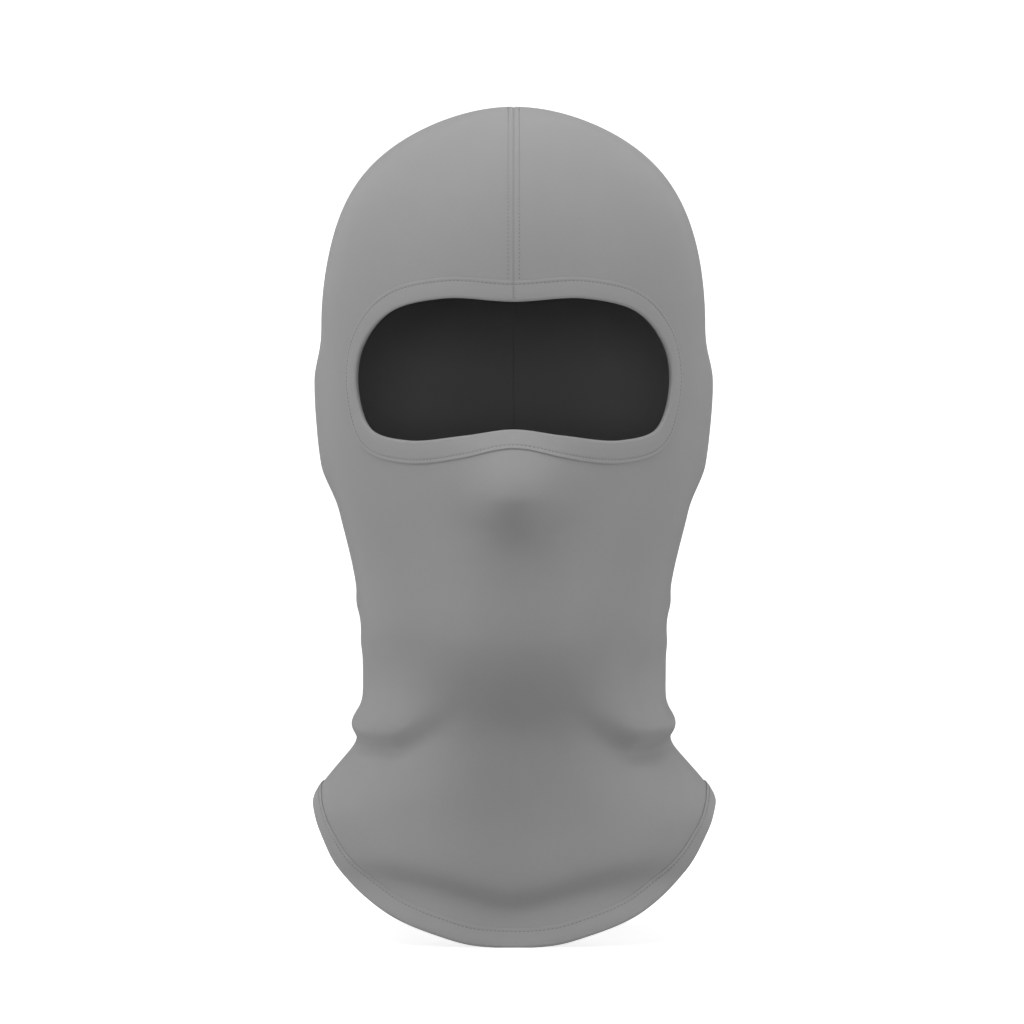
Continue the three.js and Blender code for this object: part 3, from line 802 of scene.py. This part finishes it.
eye_band = sweep("eye_band_binding", eye, BAND_SECTION, band_relief)
stand_in(eye_band, "eye_band")
neck_band = sweep("neck_band_binding", neck, BAND_SECTION, band_relief)
stand_in(neck_band, "neck_band")

ELASTIC_SECTION = rounded([(1.9, -0.3), (4.1, -0.3), (4.1, -1.2), (1.9, -1.2)], 0.25)
elastic = sweep("eye_band_elastic", eye, ELASTIC_SECTION)
stand_in(elastic, "eye_elastic")


# Heights of the stitches above the cloth
BAND_STITCH_HEIGHT = 0.5
JOIN_STITCH_HEIGHT = 0.38
TOPSTITCH_HEIGHT = -0.06
SEAM_STITCH_HEIGHT = -0.42
LINING_STITCH_HEIGHT = -1.45


def band_row(name, edge, node):
    """The row of stitches along a band."""
    line = walk(edge["points"], edge["headings"], BAND_STITCH_AT * edge["widen"])
    normals = normal_at(line)
    line = np.concatenate([line, line[:1]]) + BAND_STITCH_HEIGHT * np.concatenate([normals, normals[:1]])
    normals = np.concatenate([normals, normals[:1]])
    return stand_in(stitches(name, line, normals, BAND_STITCH), node)


eye_row = band_row("eye_band_stitches", eye, "eye_band_stitch")
neck_row = band_row("neck_band_stitches", neck, "neck_band_stitch")


DOME_SAMPLES = 500
BACK_SAMPLES = 260


def centre_line(x, front_end, back_end):
    """The crown seam's line, from above the eye band over the crown to above the back of the neck band."""
    tilt = np.radians(np.linspace(0, 180, DOME_SAMPLES))
    z = BROW_Z + (CROWN_Z - BROW_Z) * np.sin(tilt)
    keep = (tilt > math.pi / 2) | (z >= front_end)
    azimuth = np.where(tilt <= math.pi / 2, 0.0, math.pi)
    dome = point_at(azimuth, z)[keep]
    back_z = np.linspace(BROW_Z, back_end, BACK_SAMPLES + 1)[1:]
    back = point_at(np.full(BACK_SAMPLES, math.pi), back_z)
    line = np.concatenate([dome, back])
    run = lengths_along(line)
    line = resample(np.linspace(0, run[-1], int(run[-1])), run, line)
    normals = normal_at(line)
    line = settle(line + np.array([x, 0.0, 0.0]), normals)
    return line, normal_at(line)


back_stop = float(hem_height(np.array([math.pi]))[0]) + BAND_WIDTH + 0.8


def along_seam(name, node, x, kind, height, lean=0.0):
    """A row of stitches beside or in the crown seam, at a height above the cloth."""
    line, normals = centre_line(x, EYE_BAND_TOP_Z + 0.6, back_stop)
    return stand_in(stitches(name, line + normals * height, normals, kind, lean), node)


top_left = along_seam(
    "crown_topstitches_left", "crown_topstitch_left", -TOPSTITCH_AT, TOPSTITCH, TOPSTITCH_HEIGHT)
top_right = along_seam(
    "crown_topstitches_right", "crown_topstitch_right", TOPSTITCH_AT, TOPSTITCH, TOPSTITCH_HEIGHT)
closing = along_seam(
    "crown_seam_stitches", "crown_seam_thread", 0.0, SEAM_STITCH, SEAM_STITCH_HEIGHT, lean=0.2)
inner_row = along_seam(
    "lining_seam_stitches", "lining_seam_thread", 0.0, LINING_STITCH, LINING_STITCH_HEIGHT)


def strip_along(name, line, normals, half_width, upper, lower):
    """A flat strip centred on a line of points."""
    side = np.array([1.0, 0.0, 0.0])
    offsets = np.linspace(-half_width, half_width, 9)
    tops, bottoms = [], []
    for x in offsets:
        spot = settle(line + side * x, normals)
        tops.append(spot + normals * upper)
        bottoms.append(spot + normals * lower)
    section = np.stack(tops + bottoms[::-1], axis=1)
    index = np.arange(section.shape[0] * section.shape[1]).reshape(section.shape[:2])
    faces = tube_faces(index, False) + [tuple(reversed(index[0].tolist())), tuple(index[-1].tolist())]
    uv = grid_uv(np.concatenate([offsets, offsets[::-1]])[None, :], lengths_along(line)[:, None])
    return add_piece(name, section.reshape(-1, 3), faces, uv)


TAPE_HALF_WIDTH = 4.0
TAPE_FACES = (-0.64, -0.84)
tape_line, tape_normals = centre_line(0.0, EYE_BAND_TOP_Z + 1.5, back_stop + 1.5)
tape = strip_along("crown_seam_cover_tape", tape_line, tape_normals, TAPE_HALF_WIDTH, *TAPE_FACES)
stand_in(tape, "crown_seam_tape")


def join_stitches(name, node, edge):
    """Stitches down the short seam where a band's two ends meet."""
    distances = np.linspace(1.0, 6.0, 24)
    spot = np.repeat(edge["points"][:1], len(distances), axis=0)
    heading = np.repeat(edge["headings"][:1], len(distances), axis=0)
    line = walk(spot, heading, distances)
    normals = normal_at(line)
    row = stitches(name, line + normals * JOIN_STITCH_HEIGHT, normals, JOIN_STITCH, lean=0.3)
    return stand_in(row, node)


join_eye = join_stitches("eye_band_join_stitches", "eye_band_join_thread", eye)
join_neck = join_stitches("neck_band_join_stitches", "neck_band_join_thread", neck)

# Care label: a loop of satin ribbon folded at its lower end, hanging from its stitches
label_low, label_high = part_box("care_label")
label_centre = np.array([(label_low[k] + label_high[k]) / 2 / MM for k in range(3)]) - OFFSET
label_size = np.array([(label_high[k] - label_low[k]) / MM for k in range(3)])

LABEL_PLY = 0.14
LABEL_GAP = 0.16  # between the two plies
LABEL_FOLD = 0.4  # the folded end takes up this much of the height
LABEL_CURL = 0.5
LABEL_RIPPLE = 0.25


def label_outline(height):
    """The label's section, from its side: down one face, round the fold, up the other, then inside."""
    inner = LABEL_GAP / 2
    outer = inner + LABEL_PLY
    down = np.linspace(0, height - LABEL_FOLD, 33)
    bend = np.linspace(0, math.pi, 9)[1:-1]
    outline = [(outer, -d) for d in down]
    outline += [(outer * math.cos(t), -down[-1] - outer * math.sin(t)) for t in bend]
    outline += [(-outer, -d) for d in down[::-1]]
    outline += [(-inner, -d) for d in down]
    outline += [(-inner * math.cos(t), -down[-1] - inner * math.sin(t)) for t in bend]
    outline += [(inner, -d) for d in down[::-1]]
    return np.array(outline)


def label_piece():
    half_width, height = label_size[0] / 2, label_size[2]
    top = label_centre[2] + height / 2
    across = np.linspace(-half_width, half_width, 29)
    outline = label_outline(height)
    k = len(outline)
    share = -outline[:, 1] / height
    points = []
    for x in across:
        curl = LABEL_CURL * (x / half_width) ** 2 * share ** 2
        ripple = LABEL_RIPPLE * np.sin(x / 5.0) * share ** 1.5
        points.append(np.stack([
            np.full(k, label_centre[0] + x),
            label_centre[1] + outline[:, 0] - curl - ripple,
            top + outline[:, 1],
        ], axis=-1))
    index = np.arange(len(across) * k).reshape(-1, k)
    faces = tube_faces(index, False)
    for row, turn in ((index[0], 1), (index[-1], -1)):
        for i in range(k // 2 - 1):
            quad = (row[i], row[i + 1], row[k - 2 - i], row[k - 1 - i])
            faces.append(tuple(int(v) for v in quad[::turn]))
    uv = grid_uv(across[:, None], lengths_along(outline)[None, :])
    return add_piece("care_label_ribbon", np.concatenate(points), faces, uv, body="label")


label = stand_in(label_piece(), "care_label")

stitch_low, stitch_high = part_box("label_stitch")
count = 40
stitch_line = np.stack([
    np.linspace(stitch_low.x / MM, stitch_high.x / MM, count),
    np.full(count, (stitch_low.y + stitch_high.y) / 2 / MM),
    np.full(count, stitch_low.z / MM),
], axis=-1) - OFFSET
label_row = stitches("label_stitches", stitch_line, np.tile([0.0, -1.0, 0.0], (count, 1)), LABEL_STITCH)
stand_in(label_row, "label_stitch")

# Materials


class Nodes:
    """Short names for making shader nodes."""

    def __init__(self, name):
        self.material = bpy.data.materials.new(name)
        self.material.use_nodes = True
        self.tree = self.material.node_tree
        self.shader = self.tree.nodes["Principled BSDF"]

    def node(self, kind, **settings):
        made = self.tree.nodes.new(kind)
        for key, value in settings.items():
            setattr(made, key, value)
        return made

    def join(self, source, target):
        self.tree.links.new(source, target)

    def math(self, operation, a, b=0.0):
        made = self.node("ShaderNodeMath", operation=operation)
        for socket, value in zip(made.inputs, (a, b)):
            if isinstance(value, (int, float)):
                socket.default_value = value
            else:
                self.join(value, socket)
        return made.outputs[0]

    def noise(self, scale, detail, roughness):
        coordinates = self.node("ShaderNodeTexCoord")
        made = self.node("ShaderNodeTexNoise")
        made.inputs["Scale"].default_value = scale
        made.inputs["Detail"].default_value = detail
        made.inputs["Roughness"].default_value = roughness
        self.join(coordinates.outputs["Object"], made.inputs["Vector"])
        return made.outputs["Fac"]

    def cloth_axes(self):
        uv = self.node("ShaderNodeUVMap", uv_map="cloth")
        split = self.node("ShaderNodeSeparateXYZ")
        self.join(uv.outputs["UV"], split.inputs[0])
        return split.outputs[0], split.outputs[1]

    def bump(self, height, strength, distance):
        made = self.node("ShaderNodeBump")
        made.inputs["Strength"].default_value = strength
        made.inputs["Distance"].default_value = distance
        self.join(height, made.inputs["Height"])
        return made.outputs["Normal"]

    def waves(self, distance, pitch):
        """A sine wave along a distance."""
        return self.math("SINE", self.math("MULTIPLY", self.math("DIVIDE", distance, pitch), 2 * math.pi))

    def tint(self, base, factor):
        """The base colour, made lighter and darker by a factor."""
        colour = self.node("ShaderNodeVectorMath", operation="SCALE")
        colour.inputs[0].default_value = base
        self.join(factor, colour.inputs["Scale"])
        self.join(colour.outputs[0], self.shader.inputs["Base Color"])

    def settings(self, **values):
        for key, value in values.items():
            self.shader.inputs[key.replace("_", " ")].default_value = value


WALE = 0.0007  # the width of a column of knit stitches, in metres
COURSE = 0.00052  # the height of a row


def knit(name, base, sheen=0.3, across=False, painted_slant_sheen=0.0):
    """Fine jersey: columns of V-shaped stitches, a soft brushed surface, slight changes of tone, and painted
    shade in the stitches' hollows.

    Painted sheen: the colour is made lighter where the cloth is seen at a slant.
    """
    mottle, roughness = 0.05, 0.85
    n = Nodes(name)
    u, v = n.cloth_axes()
    if across:
        u, v = v, u
    cell = n.math("SUBTRACT", n.math("FRACT", n.math("DIVIDE", u, WALE)), 0.5)
    spread = n.math("ABSOLUTE", cell)
    slant = n.math("SUBTRACT", n.math("DIVIDE", v, COURSE), n.math("MULTIPLY", spread, 1.6))
    legs = n.math("SINE", n.math("MULTIPLY", slant, 2 * math.pi))
    column = n.math("COSINE", n.math("MULTIPLY", n.math("SUBTRACT", spread, 0.25), 2 * math.pi))
    height = n.math("ADD", n.math("MULTIPLY", legs, 0.35), n.math("MULTIPLY", column, 0.5))
    fuzz = n.noise(5200.0, 2.0, 0.6)
    height = n.math("ADD", height, n.math("MULTIPLY", fuzz, 0.9))
    n.join(n.bump(height, 0.35, 0.00012), n.shader.inputs["Normal"])
    drift = n.noise(38.0, 2.0, 0.5)
    fine = n.noise(900.0, 3.0, 0.6)
    shade = n.math("ADD", n.math("MULTIPLY", n.math("SUBTRACT", drift, 0.5), mottle),
                   n.math("MULTIPLY", n.math("SUBTRACT", fine, 0.5), mottle * 1.6))
    # Painted shade: the hollows of the stitches are coloured a little darker and the raised loops a little
    # lighter
    shade = n.math("ADD", shade, n.math("MULTIPLY", height, 0.02))
    # Painted sheen: the colour is made lighter where the cloth is seen at a slant
    slanting = n.node("ShaderNodeLayerWeight")
    slanting.inputs["Blend"].default_value = 0.5
    lighter = n.math("ADD", n.math("MULTIPLY", slanting.outputs["Facing"], painted_slant_sheen), 1.0)
    n.tint(base, n.math("MULTIPLY", n.math("ADD", shade, 1.0), lighter))
    n.join(n.math("ADD", n.math("MULTIPLY", fine, 0.12), roughness - 0.06), n.shader.inputs["Roughness"])
    n.settings(Specular_IOR_Level=0.25, Sheen_Weight=sheen, Sheen_Roughness=0.5)
    n.settings(Sheen_Tint=(0.9, 0.9, 0.9, 1))
    return n.material


def thread(name, base):
    """Twisted thread: slanting plies along each stitch."""
    n = Nodes(name)
    u, v = n.cloth_axes()
    plies = n.math("ADD", n.math("DIVIDE", u, 0.00045), n.math("DIVIDE", v, 0.0006))
    twist = n.math("SINE", n.math("MULTIPLY", plies, 2 * math.pi))
    n.join(n.bump(twist, 0.5, 0.00006), n.shader.inputs["Normal"])
    fine = n.noise(2500.0, 2.0, 0.6)
    light = n.math("ADD", n.math("MULTIPLY", fine, 0.14), 0.92)
    # Painted shade: the grooves between the plies are coloured darker and their tops lighter
    n.tint(base, n.math("ADD", n.math("MULTIPLY", twist, 0.08), light))
    n.settings(Roughness=0.6, Specular_IOR_Level=0.35, Sheen_Weight=0.1)
    return n.material


def woven(name, base, pitch, roughness, sheen):
    """Plain or satin weave for the label, the tape and the elastic."""
    n = Nodes(name)
    u, v = n.cloth_axes()
    weave = n.math("MULTIPLY", n.waves(u, pitch), n.waves(v, pitch * 0.7))
    n.join(n.bump(weave, 0.4, pitch * 0.12), n.shader.inputs["Normal"])
    fine = n.noise(600.0, 3.0, 0.6)
    light = n.math("ADD", n.math("MULTIPLY", fine, 0.08), 0.95)
    # Painted shade: where the weave dips the colour is a little darker, where it rises a little lighter
    n.tint(base, n.math("ADD", n.math("MULTIPLY", weave, 0.03), light))
    n.settings(Roughness=roughness, Sheen_Weight=sheen)
    return n.material


def paint(piece, material):
    piece.data.materials.clear()
    piece.data.materials.append(material)


GREY = (0.255, 0.255, 0.255)
grey_knit = knit("grey_knit", GREY)
band_knit = knit("grey_band_knit", (0.262, 0.262, 0.262), across=True)
# The lining's charcoal colour, with painted sheen: lighter where it is seen at a slant
dark_knit_painted_sheen = knit("charcoal_knit", (0.1, 0.1, 0.1), sheen=0.1, painted_slant_sheen=1.8)
grey_thread = thread("grey_thread", (0.155, 0.155, 0.155))
dark_thread = thread("charcoal_thread", (0.085, 0.085, 0.085))
# Painted shade: the crown seam's closing thread is coloured far darker than the other threads, standing in
# for the shade in the seam's valley
painted_shade_seam_thread = thread("seam_thread_painted_shade", (0.06, 0.06, 0.06))
paint(shell, grey_knit)
paint(lining, dark_knit_painted_sheen)
paint(closing, painted_shade_seam_thread)
for piece in (eye_band, neck_band):
    paint(piece, band_knit)
for piece in (top_left, top_right, eye_row, neck_row, join_eye, join_neck, label_row):
    paint(piece, grey_thread)
paint(inner_row, dark_thread)
paint(tape, woven("seam_tape", (0.2, 0.2, 0.2), 0.0006, 0.8, 0.1))
paint(elastic, woven("elastic", (0.7, 0.7, 0.68), 0.0008, 0.6, 0.1))
paint(label, woven("label_satin", (0.78, 0.78, 0.76), 0.00035, 0.35, 0.2))

# Stage, light and camera

scene = bpy.context.scene
scene.view_settings.view_transform = "Standard"
scene.view_settings.look = "None"


def stage_piece(name, verts, faces):
    """A piece of the studio, and its shader."""
    mesh = bpy.data.meshes.new(name)
    mesh.from_pydata(verts, [], faces)
    piece = bpy.data.objects.new(name, mesh)
    scene.collection.objects.link(piece)
    material = bpy.data.materials.new(name)
    material.use_nodes = True
    mesh.materials.append(material)
    shader = material.node_tree.nodes["Principled BSDF"]
    shader.inputs["Emission Color"].default_value = (1, 1, 1, 1)
    return piece, material.node_tree, shader


def floor():
    """A floor that curves up at the back, as bright to the camera as the backdrop."""
    half, front, back, height, bend = 6.0, 5.0, 3.0, 5.0, 1.2
    curve = np.linspace(0, math.pi / 2, 16)[1:]
    profile = [(-front, 0.0), (back - bend, 0.0)]
    profile += [(back - bend + bend * math.sin(t), bend - bend * math.cos(t)) for t in curve]
    profile += [(back, height)]
    n = len(profile)
    verts = [(x, y, z) for x in (-half, half) for y, z in profile]
    faces = [(i, i + n, i + n + 1, i + 1) for i in range(n - 1)]
    piece, tree, shader = stage_piece("floor", verts, faces)
    piece.data.polygons.foreach_set("use_smooth", [True] * len(faces))
    shader.inputs["Roughness"].default_value = 0.9
    path = tree.nodes.new("ShaderNodeLightPath")
    mix = tree.nodes.new("ShaderNodeMix")
    mix.data_type = "RGBA"
    mix.inputs["A"].default_value = (0.45, 0.45, 0.45, 1)
    mix.inputs["B"].default_value = (0.6, 0.6, 0.6, 1)
    tree.links.new(path.outputs["Is Camera Ray"], mix.inputs["Factor"])
    tree.links.new(mix.outputs["Result"], shader.inputs["Base Color"])
    glow = tree.nodes.new("ShaderNodeMath")
    glow.operation = "MULTIPLY"
    glow.inputs[1].default_value = 0.8
    tree.links.new(path.outputs["Is Camera Ray"], glow.inputs[0])
    tree.links.new(glow.outputs[0], shader.inputs["Emission Strength"])


def backdrop():
    """A bright wall all round, seen by the camera only, so that every view has the same plain background."""
    radius, bottom, top, count = 6.5, -0.02, 8.0, 96
    turn = np.linspace(0, 2 * math.pi, count, endpoint=False)
    verts = [(radius * math.cos(t), radius * math.sin(t), z) for z in (bottom, top) for t in turn]
    faces = [(i, (i + 1) % count, (i + 1) % count + count, i + count) for i in range(count)]
    wall, _, shader = stage_piece("backdrop", verts, faces)
    wall.visible_diffuse = False
    wall.visible_glossy = False
    wall.visible_transmission = False
    wall.visible_shadow = False
    shader.inputs["Base Color"].default_value = (0.9, 0.9, 0.9, 1)
    shader.inputs["Emission Strength"].default_value = 1.0


floor()
backdrop()

MIDDLE_Z = shell_high.z / 2


def area_light(name, place, size, power):
    """A round soft light aimed at the middle of the hood."""
    light = bpy.data.lights.new(name, "AREA")
    light.shape = "DISK"
    light.size = size
    light.energy = power
    lamp = bpy.data.objects.new(name, light)
    lamp.location = place
    lamp.rotation_euler = (Vector((0, 0, MIDDLE_Z)) - Vector(place)).to_track_quat("-Z", "Y").to_euler()
    scene.collection.objects.link(lamp)


area_light("key", (-1.3, -1.6, 2.1), 1.6, 12.4)
area_light("top", (0.0, -0.3, 2.4), 2.0, 23.2)
area_light("fill", (-0.04, -2.6, 0.16), 0.9, 23.4)
area_light("left", (-2.0, -0.2, 0.9), 1.4, 11.0)
area_light("right", (2.0, -0.2, 0.9), 1.4, 11.8)

world = bpy.data.worlds.new("studio")
world.use_nodes = True
scene.world = world
background = world.node_tree.nodes["Background"]
background.inputs["Color"].default_value = (1, 1, 1, 1)
background.inputs["Strength"].default_value = 0.46

CAMERA_DISTANCE = 2.2
CAMERA_AT = (-0.7, 183.5)  # to the side and above the lowest point of the head's axis, in millimetres
FRAME_WIDTH = 430.08 * MM  # seen at the head's axis
SENSOR_WIDTH = 36
camera_data = bpy.data.cameras.new("camera")
camera_data.sensor_width = SENSOR_WIDTH
camera_data.lens = SENSOR_WIDTH * CAMERA_DISTANCE / FRAME_WIDTH
camera = bpy.data.objects.new("camera", camera_data)
camera.location = (CAMERA_AT[0] * MM, -CAMERA_DISTANCE, (CAMERA_AT[1] + OFFSET[2]) * MM)
camera.rotation_euler = (math.pi / 2, 0, 0)
scene.collection.objects.link(camera)
scene.camera = camera
